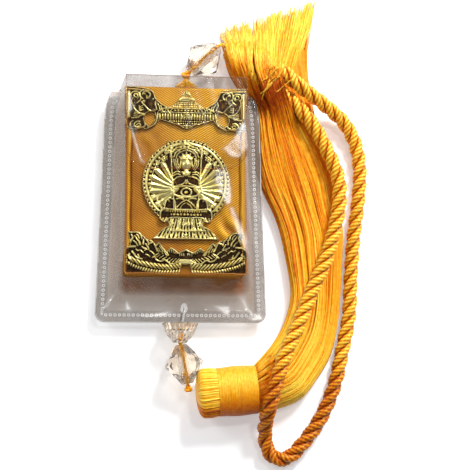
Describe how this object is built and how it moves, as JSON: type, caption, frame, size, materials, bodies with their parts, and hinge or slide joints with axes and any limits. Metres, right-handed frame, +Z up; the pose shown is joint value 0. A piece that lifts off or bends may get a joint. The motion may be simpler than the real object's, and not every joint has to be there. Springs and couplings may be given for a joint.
{
  "type": "car amulet pendant",
  "caption": "Hanging amulet: satin box with cast ornaments in a clear pouch, with clear beads, a twisted rope loop and a long silk tassel, laid flat.",
  "frame": {"origin": "outer face of the pouch's back film, under the middle of the satin box", "axes": "+Z up from the surface that the pendant lies on, +Y towards the pendant's top, where its string leaves the pouch"},
  "size_m": [0.1045, 0.1786, 0.0166],
  "materials": {
    "satin": "ribbed orange gold satin",
    "cardboard": "grey cardboard",
    "paper": "cream paper",
    "wadding": "white wadding",
    "gold_casting": "pale gold plated casting, satin",
    "clear_film": "clear soft vinyl film",
    "clear_acrylic": "polished clear acrylic",
    "silk_thread": "glossy golden orange thread",
    "silk_rope": "twisted golden orange rope",
    "nylon": "clear nylon thread"
  },
  "bodies": {
    "pendant": {"back_board": "cardboard", "front_board": "cardboard", "spacer_frame": "cardboard", "folded_scripture_paper": "paper", "wadding_pad": "wadding", "satin_back": "satin", "satin_sides": "satin", "satin_front_pad": "satin", "front_top_ornament": "gold_casting", "medallion": "gold_casting", "front_bottom_ornament": "gold_casting", "rear_top_ornament": "gold_casting", "rear_bottom_ornament": "gold_casting", "pouch_front_film": "clear_film", "pouch_back_film": "clear_film", "thread_fan": "silk_thread", "upper_knot": "silk_thread", "upper_string": "silk_thread", "rope_tie_knot": "silk_thread", "lower_string": "silk_thread", "lower_knot": "silk_thread", "pouch_hole_loop": "nylon", "tassel_cap": "silk_thread", "tassel_core": "silk_thread", "tassel_collar_winding": "silk_thread", "tassel_skirt": "silk_thread", "hanging_rope": "silk_rope"},
    "tongue_flap": {"pouch_tongue_flap": "clear_film"},
    "upper_bead": {"upper_bead": "clear_acrylic"},
    "bell_bead": {"bell_bead": "clear_acrylic"},
    "lower_bead": {"lower_bead": "clear_acrylic"}
  },
  "joints": [
    {"name": "tongue_flap_fold", "type": "hinge", "parent": "pendant", "child": "tongue_flap", "pos_m": [0, 0.0393, 0.0145], "axis": [-1, 0, 0], "range_deg": [0, 120]},
    {"name": "upper_bead_spin", "type": "hinge", "parent": "pendant", "child": "upper_bead", "pos_m": [0.00676, 0.04793, 0.0073], "axis": [0.7193, 0.6947, 0], "continuous": true},
    {"name": "bell_bead_spin", "type": "hinge", "parent": "pendant", "child": "bell_bead", "pos_m": [-0.0016, -0.0569, 0.0073], "axis": [0, 1, 0], "continuous": true},
    {"name": "lower_bead_spin", "type": "hinge", "parent": "pendant", "child": "lower_bead", "pos_m": [-0.00003, -0.06843, 0.0073], "axis": [0.1736, -0.9848, 0], "continuous": true}
  ]
}
